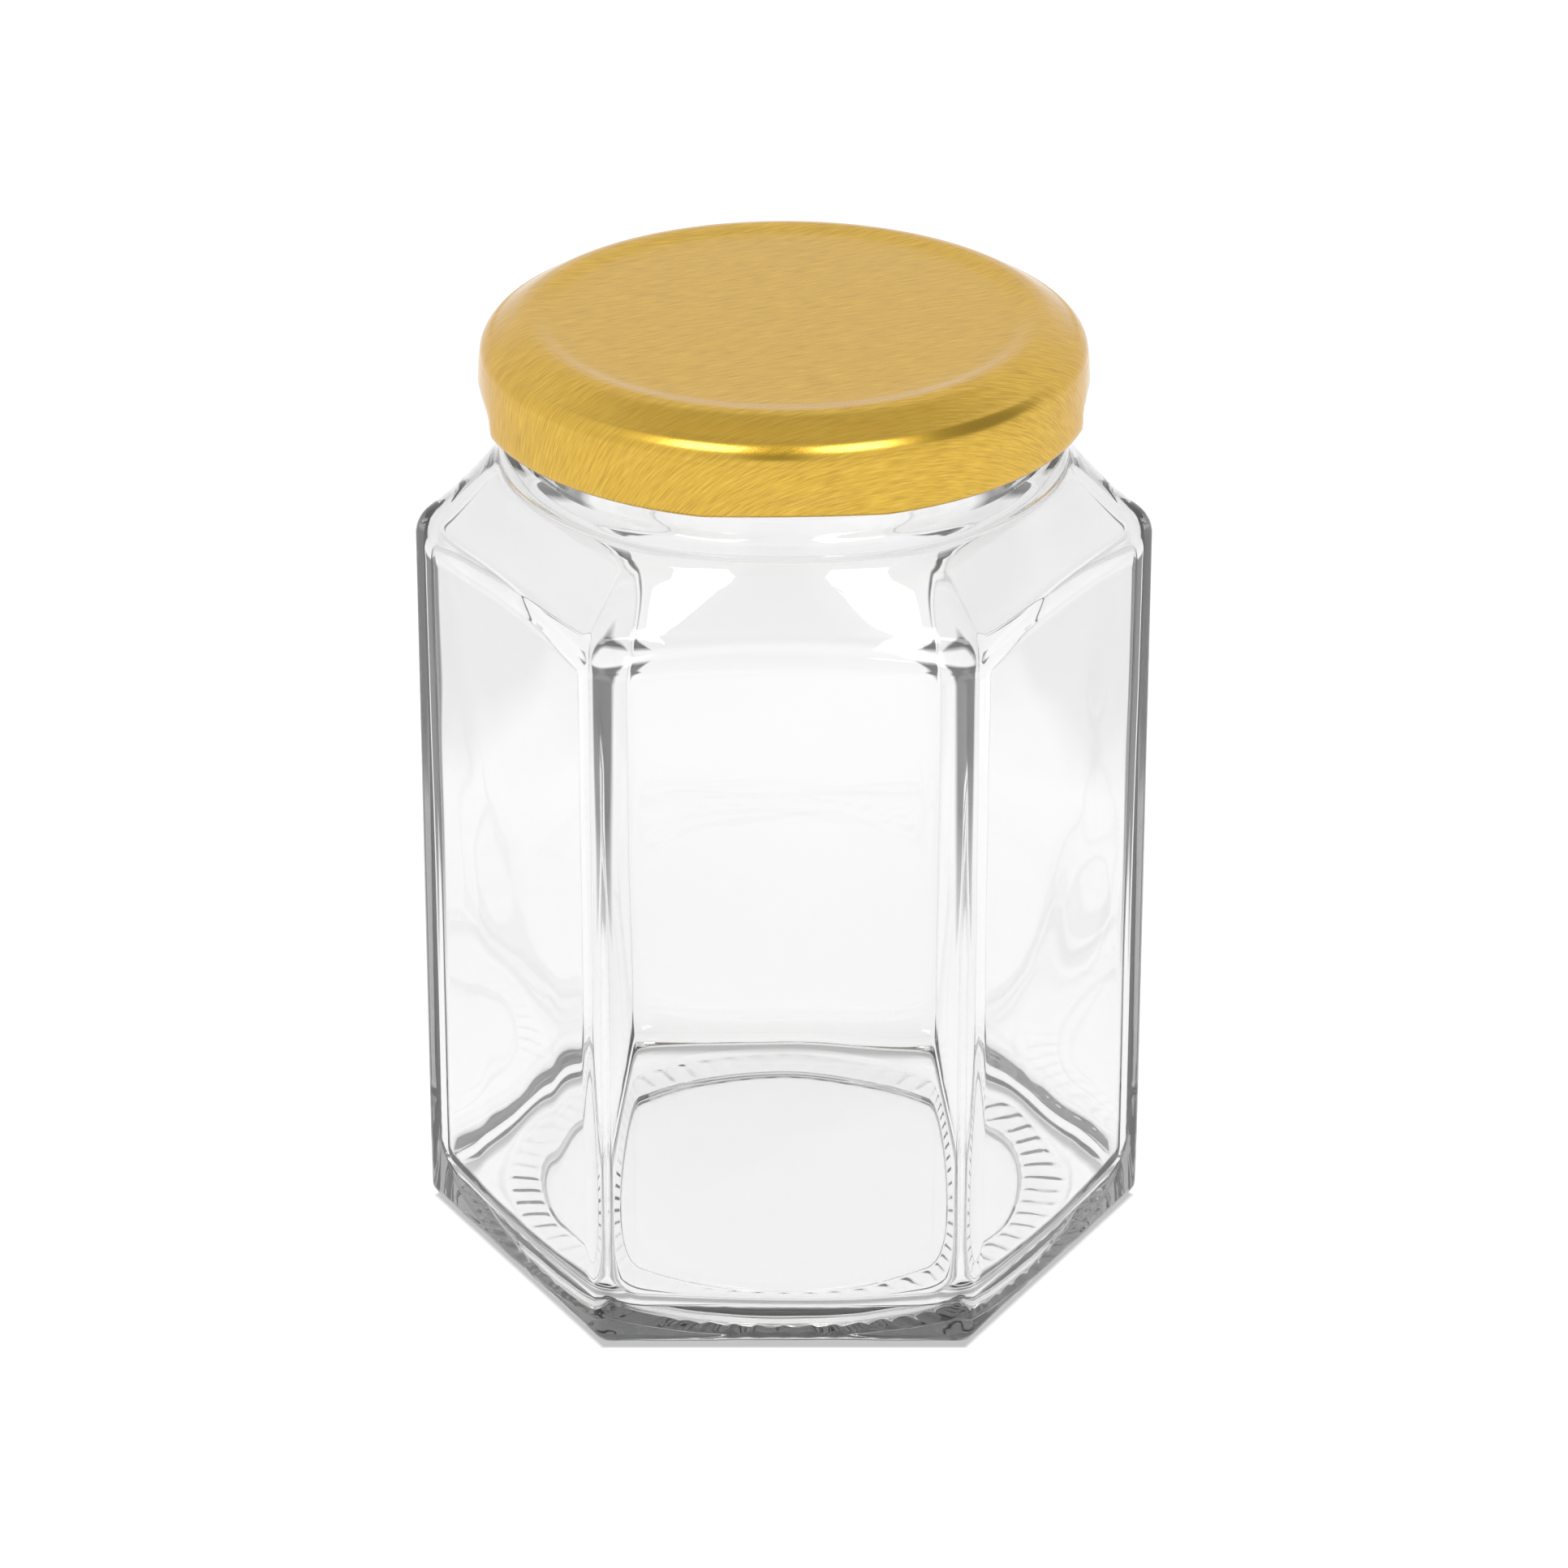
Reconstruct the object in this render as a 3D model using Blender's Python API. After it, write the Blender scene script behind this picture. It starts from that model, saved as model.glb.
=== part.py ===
"""Hexagonal glass storage jar with a one-piece twist-off lug lid.

Units are metres, +Z is up, and the origin is the centre of the jar's underside.
Two flats of the hexagon face +Y and -Y, and two of its corners point along +X and -X.

glass_jar        one moulding: body, shoulder, neck and four raised thread ridges
lid_shell        one pressed sheet: recessed panel, skirt, rolled curl and four lugs
sealing_gasket   the ring of sealing compound in the lid's channel, above the rim
"""
import math

import bmesh
import bpy

# ---- driving dimensions: jar body ----
FLATS = 0.0698                 # across the flats
CORNER_FILLET = 0.0020         # outside radius of the six upright corners
HEEL_RADIUS = 0.0013           # between the walls and the underside
HEEL_Z = 0.0004                # underside outside the bearing ring
WALL = 0.0022                  # glass thickness in the flats
WALL_TOP = 0.0016              # thinner glass just below the shoulder
INNER_FILLET = 0.0050          # inside radius of the corners, so the corners are thicker
INNER_HEEL = 0.0030            # inside radius between walls and floor, at a flat
INNER_HEEL_CORNER = 0.0045     # the same at a corner
FLOOR_Z = 0.0034               # top of the glass floor
BEARING_INNER = 0.0258         # round flat ring that the jar stands on
BEARING_OUTER = 0.0305
PUSH_UP = 0.0011               # depth of the hollow inside the bearing ring

# ---- driving dimensions: shoulder and neck ----
NECK_ROOT_Z = 0.0910           # where the shoulder meets the neck
NECK_ROOT_RADIUS = 0.0306
SHOULDER_FLAT_Z = 0.0848       # sharp edge height in the middle of a flat
SHOULDER_CORNER_Z = 0.0836     # sharp edge height at a corner
SHOULDER_FLAT_FILLET = 0.0020
SHOULDER_CORNER_FILLET = 0.0035
INNER_SHOULDER_DROP = 0.0022   # inner shoulder edge below the outer one
BORE_RADIUS = 0.0262
BORE_FOOT_Z = 0.0902
RIM_Z = 0.1053
RIM_ROUND = 0.0010
NECK_WALL_RADIUS = 0.0292      # neck wall between the thread ridges
BEAD_RADIUS = 0.0307           # round bead below the lid
BEAD_Z = 0.0925

# ---- driving dimensions: thread ridges and lugs ----
LUG_COUNT = 4
LEAD = 0.0200                  # rise of the lid in one full turn
RIDGE_CREST_RADIUS = 0.03105
RIDGE_BEFORE = math.radians(20)   # ridge length behind its lug, at rest
RIDGE_AFTER = math.radians(45)    # ridge length ahead of its lug, at rest
RIDGE_FADE = math.radians(4)      # over which a ridge rises from its ends
RIDGE_END_SHARE = 0.15         # height of a ridge's very end as a share of its full height
RIDGE_CREST_HEIGHT = 0.0011
RIDGE_ROOT_HEIGHT = 0.0019
RIDGE_ROOT_DEPTH = 0.0006      # how far the ridges reach into the neck wall
RIDGE_UNDERSIDE_Z = 0.0995     # crest underside above the middle of a lug
FIRST_LUG = math.radians(-88)  # the front lug, just right of -Y
LUG_HALF_WIDTH = math.radians(13)
LUG_EDGE = math.radians(4)     # over which a lug fades into the curl
LUG_TIP_RADIUS = 0.0297
LUG_SQUEEZE = 0.6              # height of a lug as a share of the curl's height

# ---- driving dimensions: lid and gasket ----
LID_RADIUS = 0.0330
LID_BOTTOM_Z = 0.0971
LID_TOP_Z = 0.1074
PANEL_RADIUS = 0.0245
PANEL_RECESS = 0.0004
SHEET = 0.0003
CURL_RADIUS = 0.00075
GAP = 0.0003                   # clearance kept between neighbouring pieces
GASKET_BOTTOM_Z = RIM_Z + GAP
GASKET_INNER_RADIUS = 0.0262
GASKET_OUTER_RADIUS = 0.0290

# ---- tessellation ----
CORNER_OFFSETS = (0.0, 0.8, 1.6, 2.8, 4.2, 9.0, 18.0, 30.0)   # degrees from a corner
ROUND_STEPS = 60
ARC_STEPS = 3
CURL_STEPS = 7
RIDGE_STEPS = 16


def clear_scene():
    """Remove every object of the open scene."""
    for old in list(bpy.data.objects):
        bpy.data.objects.remove(old, do_unlink=True)


def material(name, colour, roughness, metallic, transmission=0.0):
    """A plain Principled material."""
    made = bpy.data.materials.new(name)
    made.use_nodes = True
    shader = made.node_tree.nodes["Principled BSDF"]
    shader.inputs["Base Color"].default_value = (*colour, 1.0)
    shader.inputs["Roughness"].default_value = roughness
    shader.inputs["Metallic"].default_value = metallic
    shader.inputs["Transmission Weight"].default_value = transmission
    return made


# ---- hexagon with rounded corners ----
def corner_radius(apothem, fillet):
    """Distance from the axis to the middle of a rounded corner."""
    return (apothem - fillet) / math.cos(math.pi / 6) + fillet


def hexagon_radius(angle, apothem, fillet):
    """Polar radius of the rounded hexagon, with a corner at angle 0."""
    sector = math.pi / 3
    offset = abs((angle + sector / 2) % sector - sector / 2)
    centre = (apothem - fillet) / math.cos(sector / 2)
    tangent = math.atan2(fillet * math.sin(sector / 2), centre + fillet * math.cos(sector / 2))
    if offset >= tangent:
        return apothem / math.cos(sector / 2 - offset)
    return centre * math.cos(offset) + math.sqrt(fillet ** 2 - (centre * math.sin(offset)) ** 2)


def hexagon_angles():
    """Angles of one turn, close together at the corners."""
    sector = [-offset for offset in reversed(CORNER_OFFSETS[1:-1])] + list(CORNER_OFFSETS)
    return [math.radians(60 * side + offset) for side in range(6) for offset in sector]


def cornerness(angle, apothem, fillet):
    """0 in the middle of a flat, 1 at a corner."""
    reach = corner_radius(apothem, fillet) - apothem
    return (hexagon_radius(angle, apothem, fillet) - apothem) / reach


# ---- profiles: each is a list of (radius, height) ----
def arc(centre_r, centre_z, radius, start, end, steps=ARC_STEPS):
    """Points of a round stretch; angles in degrees from the outward direction."""
    turns = [math.radians(start + (end - start) * step / steps) for step in range(steps + 1)]
    return [(centre_r + radius * math.cos(turn), centre_z + radius * math.sin(turn)) for turn in turns]


def outer_shoulder(wall_r, edge_z, fillet):
    """Rounded edge at the top of a wall, then a straight slope to the neck."""
    slope = math.degrees(math.atan2(NECK_ROOT_Z - edge_z, wall_r - NECK_ROOT_RADIUS))
    tangent = fillet * math.tan(math.radians(90 - slope) / 2)
    edge = arc(wall_r - fillet, edge_z - tangent, fillet, 0, 90 - slope)
    start_r, start_z = edge[-1]
    middle = ((start_r + NECK_ROOT_RADIUS) / 2, (start_z + NECK_ROOT_Z) / 2)
    return edge + [middle, (NECK_ROOT_RADIUS + 0.0004, NECK_ROOT_Z - 0.0003)]


def outer_profile(wall_r, edge_z, fillet):
    """Outside of the jar, from the underside's centre to the neck root."""
    heel_r = wall_r - HEEL_RADIUS
    hollow = [(0.0, PUSH_UP), (0.6 * BEARING_INNER, 0.95 * PUSH_UP), (BEARING_INNER - 0.0014, 0.75 * PUSH_UP)]
    bearing = [(BEARING_INNER, 0.0), (BEARING_OUTER, 0.0), (BEARING_OUTER + 0.0012, HEEL_Z)]
    heel = arc(heel_r, HEEL_Z + HEEL_RADIUS, HEEL_RADIUS, -90, 0)
    return hollow + bearing + heel + outer_shoulder(wall_r, edge_z, fillet)


def neck_profile():
    """Outside of the neck, over the rim and down the bore."""
    outside = [
        (NECK_ROOT_RADIUS, NECK_ROOT_Z + 0.0004),
        (BEAD_RADIUS, BEAD_Z),
        (BEAD_RADIUS - 0.0002, BEAD_Z + 0.0010),
        (BEAD_RADIUS - 0.0008, BEAD_Z + 0.0020),
        (NECK_WALL_RADIUS, BEAD_Z + 0.0032),
    ]
    rim_outer = arc(NECK_WALL_RADIUS - RIM_ROUND, RIM_Z - RIM_ROUND, RIM_ROUND, 0, 90, 3)
    rim_inner = arc(BORE_RADIUS + RIM_ROUND, RIM_Z - RIM_ROUND, RIM_ROUND, 90, 180, 3)
    return outside + rim_outer + rim_inner + [(BORE_RADIUS, BORE_FOOT_Z + 0.0010)]


def inner_profile(wall_r, edge_z, heel_radius):
    """Inside of the jar, from the shoulder down to the floor's centre."""
    foot_z = edge_z - INNER_SHOULDER_DROP
    top_r = wall_r + WALL - WALL_TOP
    shoulder = [
        (BORE_RADIUS + 0.0006, BORE_FOOT_Z),
        (0.5 * (BORE_RADIUS + top_r), 0.5 * (BORE_FOOT_Z + foot_z) + 0.0004),
        (top_r - 0.0010, foot_z + 0.0006),
        (top_r, foot_z - 0.0010),
        (wall_r, 0.45 * foot_z),
    ]
    heel = arc(wall_r - heel_radius, FLOOR_Z + heel_radius, heel_radius, 0, -90)
    return shoulder + heel + [(0.5 * BEARING_INNER, FLOOR_Z + 0.0003), (0.0, FLOOR_Z + 0.0004)]


# ---- mesh helpers ----
def loft(mesh, rings, pole_start=True, pole_end=True):
    """Skin a list of rings of equal length; a pole ring is a single point."""
    rows = []
    for index, ring in enumerate(rings):
        is_pole = (index == 0 and pole_start) or (index == len(rings) - 1 and pole_end)
        rows.append([mesh.verts.new(point) for point in (ring[:1] if is_pole else ring)])
    for lower, upper in zip(rows, rows[1:]):
        count = max(len(lower), len(upper))
        for here in range(count):
            ahead = (here + 1) % count
            corners = [lower[here % len(lower)], lower[ahead % len(lower)],
                       upper[ahead % len(upper)], upper[here % len(upper)]]
            mesh.faces.new(list(dict.fromkeys(corners)))
    return rows


def finish_object(name, mesh, look, origin_z=0.0):
    """Turn a bmesh into a named object whose origin is on the jar's axis."""
    bmesh.ops.translate(mesh, verts=mesh.verts, vec=(0.0, 0.0, -origin_z))
    bmesh.ops.recalc_face_normals(mesh, faces=mesh.faces)
    data = bpy.data.meshes.new(name)
    mesh.to_mesh(data)
    mesh.free()
    data.materials.append(look)
    data.shade_smooth()
    data.set_sharp_from_angle(angle=math.radians(35))
    made = bpy.data.objects.new(name, data)
    made.location.z = origin_z
    bpy.context.scene.collection.objects.link(made)
    return made


# ---- glass jar ----
def blended_rings(flat_profile, corner_profile, apothem, fillet):
    """Rings between the profile of a flat and the profile of a corner."""
    rings = []
    for (flat_r, flat_z), (point_r, point_z) in zip(flat_profile, corner_profile):
        ring = []
        for angle in hexagon_angles():
            share = cornerness(angle, apothem, fillet)
            radius = flat_r + share * (point_r - flat_r)
            height = flat_z + share * (point_z - flat_z)
            ring.append((radius * math.cos(angle), radius * math.sin(angle), height))
        rings.append(ring)
    return rings


def jar_rings():
    """Every ring of the jar, from under the floor, over the rim, to the floor."""
    apothem = FLATS / 2
    inner_apothem = apothem - WALL
    outer = blended_rings(
        outer_profile(apothem, SHOULDER_FLAT_Z, SHOULDER_FLAT_FILLET),
        outer_profile(corner_radius(apothem, CORNER_FILLET), SHOULDER_CORNER_Z, SHOULDER_CORNER_FILLET),
        apothem, CORNER_FILLET)
    neck = blended_rings(neck_profile(), neck_profile(), apothem, CORNER_FILLET)
    inner = blended_rings(
        inner_profile(inner_apothem, SHOULDER_FLAT_Z, INNER_HEEL),
        inner_profile(corner_radius(inner_apothem, INNER_FILLET), SHOULDER_CORNER_Z, INNER_HEEL_CORNER),
        inner_apothem, INNER_FILLET)
    return outer + neck + inner


def ridge_section(angle, lug_angle):
    """Four corners of a thread ridge's section where it passes an angle."""
    rise = LEAD * (angle - lug_angle) / (2 * math.pi)
    middle_z = RIDGE_UNDERSIDE_Z + RIDGE_CREST_HEIGHT / 2 + rise
    root_radius = NECK_WALL_RADIUS - RIDGE_ROOT_DEPTH
    from_start = angle - lug_angle + RIDGE_BEFORE
    from_end = lug_angle + RIDGE_AFTER - angle
    fade = min(1.0, from_start / RIDGE_FADE, from_end / RIDGE_FADE)
    height = RIDGE_CREST_RADIUS - NECK_WALL_RADIUS
    crest_radius = NECK_WALL_RADIUS + height * (RIDGE_END_SHARE + (1 - RIDGE_END_SHARE) * fade)
    section = [
        (root_radius, middle_z - RIDGE_ROOT_HEIGHT / 2),
        (crest_radius, middle_z - RIDGE_CREST_HEIGHT / 2),
        (crest_radius, middle_z + RIDGE_CREST_HEIGHT / 2),
        (root_radius, middle_z + RIDGE_ROOT_HEIGHT / 2),
    ]
    return [(radius * math.cos(angle), radius * math.sin(angle), z) for radius, z in section]


def thread_ridges():
    """The four helical ridges as one hidden guide, which a Boolean joins to the neck."""
    mesh = bmesh.new()
    for lug in range(LUG_COUNT):
        lug_angle = FIRST_LUG + lug * 2 * math.pi / LUG_COUNT
        start = lug_angle - RIDGE_BEFORE
        length = RIDGE_BEFORE + RIDGE_AFTER
        turns = [start + length * step / RIDGE_STEPS for step in range(RIDGE_STEPS + 1)]
        rings = [ridge_section(angle, lug_angle) for angle in turns]
        rows = loft(mesh, rings, pole_start=False, pole_end=False)
        mesh.faces.new(rows[0])
        mesh.faces.new(rows[-1])
    bmesh.ops.recalc_face_normals(mesh, faces=mesh.faces)
    data = bpy.data.meshes.new("thread_ridges_guide")
    mesh.to_mesh(data)
    mesh.free()
    guide = bpy.data.objects.new("thread_ridges_guide", data)
    bpy.context.scene.collection.objects.link(guide)
    guide.hide_render = True
    guide.display_type = "WIRE"
    return guide


def build_jar():
    """The glass body with the thread ridges joined to its neck."""
    mesh = bmesh.new()
    loft(mesh, jar_rings())
    glass = material("clear_glass", (0.93, 0.95, 0.94), 0.03, 0.0, 1.0)
    jar = finish_object("glass_jar", mesh, glass)
    union = jar.modifiers.new("thread_ridges", "BOOLEAN")
    union.operation = "UNION"
    union.object = thread_ridges()
    return jar


# ---- lid ----
def lid_outside():
    """Outside of the lid, from the panel's centre down to the curl."""
    panel_z = LID_TOP_Z - PANEL_RECESS
    return [
        (0.0, panel_z),
        (PANEL_RADIUS, panel_z),
        (PANEL_RADIUS + 0.0007, panel_z + 0.18 * PANEL_RECESS),
        (PANEL_RADIUS + 0.0019, panel_z + 0.82 * PANEL_RECESS),
        (PANEL_RADIUS + 0.0026, LID_TOP_Z),
        (LID_RADIUS - 0.0056, LID_TOP_Z),
        (LID_RADIUS - 0.0046, LID_TOP_Z - 0.00022),
        (LID_RADIUS - 0.0036, LID_TOP_Z - 0.00072),
        (LID_RADIUS - 0.0026, LID_TOP_Z - 0.00134),
        (LID_RADIUS - 0.0019, LID_TOP_Z - 0.00180),
        (LID_RADIUS - 0.0014, LID_TOP_Z - 0.00204),
        (LID_RADIUS - 0.0010, LID_TOP_Z - 0.00242),
        (LID_RADIUS - 0.00064, LID_TOP_Z - 0.00290),
        (LID_RADIUS - 0.00042, LID_TOP_Z - 0.00344),
        (LID_RADIUS - 0.00033, LID_TOP_Z - 0.00405),
        (LID_RADIUS - 0.00023, LID_TOP_Z - 0.00500),
        (LID_RADIUS, LID_BOTTOM_Z + CURL_RADIUS + 0.0003),
    ]


def lid_inside():
    """Inside of the sheet, from the curl up to the panel's centre."""
    outside = lid_outside()
    inside = []
    for before, here, after in zip(outside, outside[1:], outside[2:]):
        along_r, along_z = after[0] - before[0], after[1] - before[1]
        length = math.hypot(along_r, along_z)
        inside.append((here[0] + SHEET * along_z / length, here[1] - SHEET * along_r / length))
    centre = (0.0, outside[0][1] - SHEET)
    return list(reversed(inside)) + [centre]


def lid_curl():
    """The rolled edge, from its outer side round the bottom to its upper side."""
    centre_r = LID_RADIUS - CURL_RADIUS
    centre_z = LID_BOTTOM_Z + CURL_RADIUS
    return arc(centre_r, centre_z, CURL_RADIUS, -30, -240, CURL_STEPS)


def lug_share(angle):
    """1 across the middle of a lug, 0 between the lugs."""
    pitch = 2 * math.pi / LUG_COUNT
    offset = abs((angle - FIRST_LUG + pitch / 2) % pitch - pitch / 2)
    return min(1.0, max(0.0, (LUG_HALF_WIDTH + LUG_EDGE - offset) / LUG_EDGE))


def lug_flattening(angle, height):
    """How far the skirt is pressed in at a lug, fading out above the curl."""
    pitch = 2 * math.pi / LUG_COUNT
    offset = abs((angle - FIRST_LUG + pitch / 2) % pitch - pitch / 2)
    reach = LUG_HALF_WIDTH + LUG_EDGE
    if offset >= reach:
        return 0.0
    chord = LID_RADIUS - LID_RADIUS * math.cos(reach) / math.cos(offset)
    fade = (LID_BOTTOM_Z + 0.0035 - height) / 0.0025
    return 0.75 * chord * min(1.0, max(0.0, fade))


def lid_ring(radius, height, angles, on_curl_inner):
    """One ring of the lid, with the lugs and their flattening."""
    ring = []
    lug_reach = LID_RADIUS - 2 * CURL_RADIUS - LUG_TIP_RADIUS
    for angle in angles:
        share = lug_share(angle) if on_curl_inner else 0.0
        here_r = radius - lug_flattening(angle, height) * (1 - share) - share * lug_reach
        here_z = height - share * (1 - LUG_SQUEEZE) * (height - LID_BOTTOM_Z)
        ring.append((here_r * math.cos(angle), here_r * math.sin(angle), here_z))
    return ring


def build_lid():
    """The pressed lid: both sides of the sheet joined round the curl."""
    curl = lid_curl()
    inner_side = LID_RADIUS - 1.6 * CURL_RADIUS
    profile = lid_outside() + curl + lid_inside()
    angles = [2 * math.pi * step / ROUND_STEPS for step in range(ROUND_STEPS)]
    rings = [
        lid_ring(radius, height, angles, (radius, height) in curl and radius < inner_side)
        for radius, height in profile
    ]
    mesh = bmesh.new()
    loft(mesh, rings)
    lacquer = material("gold_lacquered_tinplate", (0.72, 0.47, 0.12), 0.32, 0.9)
    return finish_object("lid_shell", mesh, lacquer, LID_BOTTOM_Z)


# ---- gasket ----
def build_gasket():
    """The sealing ring, following the underside of the lid's channel."""
    inner_r, outer_r = GASKET_INNER_RADIUS, GASKET_OUTER_RADIUS
    channel = [point for point in reversed(lid_inside()) if inner_r < point[0] < outer_r]
    top = [(radius, height - GAP - 0.0001) for radius, height in channel]
    profile = [(inner_r, GASKET_BOTTOM_Z + 0.0004), (inner_r + 0.0004, GASKET_BOTTOM_Z)]
    profile += [(outer_r - 0.0006, GASKET_BOTTOM_Z), (outer_r - 0.0002, GASKET_BOTTOM_Z + 0.0003)]
    profile += list(reversed(top))
    angles = [2 * math.pi * step / ROUND_STEPS for step in range(ROUND_STEPS)]
    rings = [[(r * math.cos(angle), r * math.sin(angle), z) for angle in angles] for r, z in profile]
    mesh = bmesh.new()
    loft(mesh, rings + rings[:1], pole_start=False, pole_end=False)
    bmesh.ops.remove_doubles(mesh, verts=mesh.verts, dist=0.000001)
    compound = material("sealing_compound", (0.80, 0.78, 0.72), 0.6, 0.0)
    return finish_object("sealing_gasket", mesh, compound, LID_BOTTOM_Z)


def main():
    """Build the jar, its lid and its gasket."""
    clear_scene()
    build_jar()
    build_lid()
    build_gasket()


main()
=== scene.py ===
"""The hexagonal glass jar with its gold twist-off lid, in a bright studio."""
import math

import bmesh
import bpy
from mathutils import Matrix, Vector, noise


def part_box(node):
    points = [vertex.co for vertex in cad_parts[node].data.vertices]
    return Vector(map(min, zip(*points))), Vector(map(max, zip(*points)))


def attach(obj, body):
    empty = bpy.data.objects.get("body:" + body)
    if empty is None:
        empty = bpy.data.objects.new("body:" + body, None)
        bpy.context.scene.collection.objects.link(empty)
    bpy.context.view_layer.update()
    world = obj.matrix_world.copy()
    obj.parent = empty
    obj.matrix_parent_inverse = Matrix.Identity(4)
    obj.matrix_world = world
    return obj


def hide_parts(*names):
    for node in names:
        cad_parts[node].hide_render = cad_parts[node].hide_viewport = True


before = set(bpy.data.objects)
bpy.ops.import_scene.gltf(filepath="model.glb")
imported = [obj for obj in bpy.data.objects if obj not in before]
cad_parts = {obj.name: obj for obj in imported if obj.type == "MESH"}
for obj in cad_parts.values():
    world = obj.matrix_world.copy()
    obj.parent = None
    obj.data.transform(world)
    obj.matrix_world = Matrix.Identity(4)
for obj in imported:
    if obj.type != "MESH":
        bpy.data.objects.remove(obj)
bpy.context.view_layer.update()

# Lengths are in metres. Pairs named ..._EDGE or ..._RANGE say where a change begins and ends.

# ---- sizes read from the CAD parts in model.glb ----
JAR_LOW, JAR_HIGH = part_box("glass_jar")
LID_LOW, LID_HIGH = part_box("lid_shell")
GASKET_LOW, GASKET_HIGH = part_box("sealing_gasket")
APOTHEM = JAR_HIGH.y
CORNER_REACH = JAR_HIGH.x
RIM_Z = JAR_HIGH.z
LID_BOTTOM_Z = LID_LOW.z
LID_TOP_Z = LID_HIGH.z

# ---- glass: the CAD jar's dimensions ----
CORNER_FILLET = 0.0020
HEEL_RADIUS = 0.0013
WALL = 0.0022
WALL_TOP = 0.0016
INNER_FILLET = 0.0050
INNER_HEEL = 0.0030
INNER_HEEL_CORNER = 0.0045
FLOOR_Z = 0.0034
FLOOR_CROWN = 0.0004            # how far the inside floor rises in its middle
PUSH_UP = 0.0011
BEARING_INNER = 0.0258
BEARING_OUTER = 0.0305
HEEL_Z = 0.0004
APRON = (                       # (out from the bearing ring, share of HEEL_Z)
    (0.0, 0.0), (0.0002, 0.08), (0.0006, 0.5), (0.0010, 0.92), (0.0014, 1.0),
)
NECK_ROOT_Z = 0.0910
NECK_ROOT_RADIUS = 0.0306
SHOULDER_FLAT_Z = 0.0848
SHOULDER_CORNER_Z = 0.0836
SHOULDER_FLAT_FILLET = 0.0020
SHOULDER_CORNER_FILLET = 0.0035
INNER_SHOULDER_DROP = 0.0022
TAPER_SHARE = 0.6               # part of the inside wall over which it thickens, from the top
BORE_RADIUS = 0.0262
BORE_FOOT_Z = 0.0902
RIM_ROUND = 0.0010
NECK_WALL_RADIUS = 0.0292
BEAD_RADIUS = 0.0307
BEAD_Z = 0.0925

# ---- glass: what the CAD jar leaves out ----
GLASS_STEPS = 72                # points in each sixth of a ring
KNURL_COUNT = 60                # grooves round the bearing ring
KNURL_DEPTH = 0.00030
KNURL_END = 0.2                 # share of a groove's length over which it fades at each end
KNURL_LEFT = 0.5                # average share of the depth that is left after pressing
KNURL_SWING = 0.7               # how much that share varies round the ring
KNURL_SWING_LENGTH = 0.55       # on a circle of radius 1
MOTTLE_DEPTH = 0.00018          # uneven patches low on the outside
MOTTLE_LENGTH = 0.0040
MOTTLE_TOP = 0.0070
MOTTLE_RADIUS = BEARING_OUTER + 0.0015
INNER_WAVINESS = 0.00012        # blown glass is never quite flat inside
INNER_WAVE_ACROSS = 0.012
INNER_WAVE_UP = 0.009
SEED_ACROSS, SEED_MOTTLE, SEED_UP, SEED_KNURL = 3.0, 5.0, 7.0, 11.0

# ---- thread and lugs ----
LUG_COUNT = 4
LEAD = 0.0200
RIDGE_HEIGHT = 0.00185
RIDGE_HALF = 0.00085
RIDGE_FULLNESS = 0.7            # a lower power of the cosine makes a rounder ridge
RIDGE_MIDDLE_Z = 0.10005
RIDGE_BEFORE = math.radians(20)
RIDGE_AFTER = math.radians(45)
FIRST_LUG = math.radians(-88)
LUG_HALF_WIDTH = math.radians(13)
LUG_EDGE = math.radians(4)
LUG_TIP_RADIUS = 0.0297
LUG_SQUEEZE = 0.6               # height of the pressed curl at a lug, as a share of the round one
LUG_FLATTENING = 0.75           # of the full chord across a lug
LUG_FADE_Z = 0.0035             # above the lid's lower edge the skirt is round again
LUG_FADE_HEIGHT = 0.0025
LUG_CURL_RANGE = (0.25, 0.875)  # share of the way in round the curl

# ---- lid ----
LID_STEPS = 256
LID_RADIUS = 0.0330
PANEL_RADIUS = 0.0245
PANEL_RECESS = 0.0004
SHEET = 0.0003
CURL_RADIUS = 0.00075
PALE_CURL_ROWS = 4              # rows at the curl's end that show the inside lacquer
LID_COVE = (                    # (out from the panel, share of PANEL_RECESS)
    (0.0, 0.0), (0.0007, 0.18), (0.0019, 0.82), (0.0026, 1.0),
)
LID_SHOULDER = (                # (in from LID_RADIUS, down from the top)
    (0.0056, 0.0), (0.0046, 0.00022), (0.0036, 0.00072), (0.0026, 0.00134),
    (0.0019, 0.00180), (0.0014, 0.00204), (0.0010, 0.00242), (0.00064, 0.00290),
    (0.00042, 0.00344), (0.00033, 0.00405), (0.00023, 0.00500),
)
LID_SKIRT_END = 0.0003          # the skirt meets the curl this far above the curl's middle

# ---- gasket ----
GASKET_STEPS = 192
GASKET_INNER_RADIUS = 0.0262
GASKET_CLEARANCE = 0.00042
GASKET_INNER_ROUND = 0.0004
GASKET_OUTER_ROUND = 0.0003

# ---- colours and grain ----
WHITE = (1.0, 1.0, 1.0)
BLACK = (0.0, 0.0, 0.0)
GLASS_BODY = (0.030, 0.040, 0.036)
GLASS_DENSITY = 28.0
GOLD = (0.64, 0.395, 0.034)
GOLD_DARK = (0.54, 0.320, 0.024)
GOLD_PALE = (0.73, 0.465, 0.050)
GOLD_EDGE = (0.80, 0.62, 0.38)
GRAIN_TURN = math.radians(23)
FINE_GRAIN = 0.7                # share of the fine grain; the rest is the broad one
LACQUER = (0.72, 0.66, 0.52)
LACQUER_DARK = (0.66, 0.59, 0.44)
COMPOUND = (0.80, 0.78, 0.72)
COMPOUND_DARK = (0.70, 0.67, 0.60)

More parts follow.
